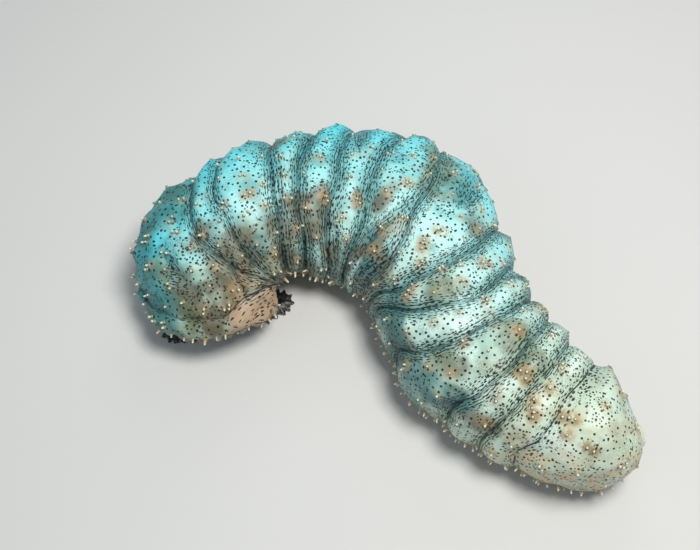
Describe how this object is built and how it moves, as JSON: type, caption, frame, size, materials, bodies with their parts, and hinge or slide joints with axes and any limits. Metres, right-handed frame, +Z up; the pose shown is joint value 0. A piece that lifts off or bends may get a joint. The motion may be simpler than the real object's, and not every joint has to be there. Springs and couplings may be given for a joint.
{
  "type": "sea cucumber",
  "caption": "Life-size sea cucumber lying in a bend: plump creased body, small papillae, tube feet under a flat sole, mouth with oral tentacles turned down.",
  "frame": {"origin": "bottom centre of the whole body's box, on the floor that the animal lies on", "axes": "+X towards the tail's side, along the longest extent; +Y away from the viewer of the picture; +Z up from the floor"},
  "size_m": [0.2701, 0.2144, 0.0766],
  "materials": {
    "body_skin": "moist satin skin, pale with dark dots",
    "collar_skin": "moist satin skin, pinkish brown",
    "tentacle_skin": "moist satin, black with pale edges",
    "vent_skin": "moist satin skin, pale"
  },
  "bodies": {
    "root": {"mouth_collar": "collar_skin", "front_end": "body_skin", "neck": "body_skin", "trunk_front": "body_skin", "trunk_bend": "body_skin", "trunk_rear": "body_skin", "tail_end": "body_skin", "tentacle_crown": "tentacle_skin", "anal_ring": "vent_skin"}
  },
  "joints": []
}
